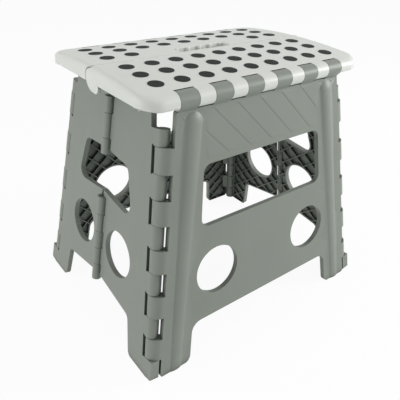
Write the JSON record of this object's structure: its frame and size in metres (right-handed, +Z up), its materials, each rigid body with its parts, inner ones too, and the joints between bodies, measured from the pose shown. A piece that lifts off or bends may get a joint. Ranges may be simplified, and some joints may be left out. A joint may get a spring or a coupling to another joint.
{
  "type": "folding step stool",
  "caption": "Folding plastic step stool: a crowned two-part seat with round grip pads and a hand slot, on four sloping hinged panels with windows and round holes.",
  "frame": {"origin": "centre of the footprint, on the floor", "axes": "+X along the seat towards its right end, +Y from the front panel to the rear panel, +Z up"},
  "size_m": [0.3522, 0.2832, 0.3179],
  "materials": {
    "stand_plastic": "satin grey-green polypropylene",
    "seat_plastic": "satin off-white polypropylene",
    "grip_rubber": "matt dark grey thermoplastic rubber",
    "pin_steel": "drawn steel wire"
  },
  "bodies": {
    "front_panel": {"front_panel": "stand_plastic", "front_seat_pin": "pin_steel", "corner_pin_front_left": "pin_steel", "corner_pin_front_right": "pin_steel"},
    "rear_panel": {"rear_panel": "stand_plastic", "rear_seat_pin": "pin_steel", "corner_pin_rear_left": "pin_steel", "corner_pin_rear_right": "pin_steel"},
    "seat_front": {"seat_front_half": "seat_plastic", "front_grip_pads": "grip_rubber", "center_pin_left": "pin_steel", "center_pin_right": "pin_steel"},
    "seat_rear": {"seat_rear_half": "seat_plastic", "rear_grip_pads": "grip_rubber"},
    "left_front": {"left_end_front": "stand_plastic", "middle_pin_left_upper": "pin_steel", "middle_pin_left_lower": "pin_steel"},
    "left_rear": {"left_end_rear": "stand_plastic"},
    "right_front": {"right_end_front": "stand_plastic", "middle_pin_right_upper": "pin_steel", "middle_pin_right_lower": "pin_steel"},
    "right_rear": {"right_end_rear": "stand_plastic"}
  },
  "joints": [
    {"name": "corner_front_left", "type": "hinge", "parent": "front_panel", "child": "left_front", "pos_m": [-0.16902, -0.12806, 0], "axis": [-0.1611, -0.1278, -0.9786], "range_deg": [0, 91.2]},
    {"name": "middle_left", "type": "hinge", "parent": "left_front", "child": "left_rear", "pos_m": [-0.17631, 0, 0], "axis": [0.1625, 0, 0.9867], "range_deg": [0, 180.02]},
    {"name": "corner_rear_left", "type": "hinge", "parent": "left_rear", "child": "rear_panel", "pos_m": [-0.16902, 0.12806, 0], "axis": [-0.1611, 0.1278, -0.9786], "range_deg": [0, 91.23]},
    {"name": "corner_front_right", "type": "hinge", "parent": "front_panel", "child": "right_front", "pos_m": [0.16902, -0.12806, 0], "axis": [-0.1611, 0.1278, 0.9786], "range_deg": [0, 91.23]},
    {"name": "corner_rear_right", "type": "hinge", "parent": "rear_panel", "child": "right_rear", "pos_m": [0.16902, 0.12806, 0], "axis": [0.1611, 0.1278, -0.9786], "range_deg": [0, 91.23]},
    {"name": "seat_hinge_front", "type": "hinge", "parent": "front_panel", "child": "seat_front", "pos_m": [0, -0.0984, 0.30282], "axis": [1, 0, 0], "range_deg": [0, 76.64]},
    {"name": "seat_hinge_rear", "type": "hinge", "parent": "rear_panel", "child": "seat_rear", "pos_m": [0, 0.0984, 0.30282], "axis": [-1, 0, 0], "range_deg": [0, 76.64]}
  ],
  "couplings": [
    {"joint": "middle_left", "follows": "corner_front_left", "ratio": 1.9736},
    {"joint": "corner_rear_left", "follows": "corner_front_left", "ratio": 1},
    {"joint": "corner_front_right", "follows": "corner_front_left", "ratio": 1},
    {"joint": "corner_rear_right", "follows": "corner_front_left", "ratio": 1},
    {"joint": "seat_hinge_front", "follows": "corner_front_left", "ratio": 0.84},
    {"joint": "seat_hinge_rear", "follows": "corner_front_left", "ratio": 0.84}
  ]
}
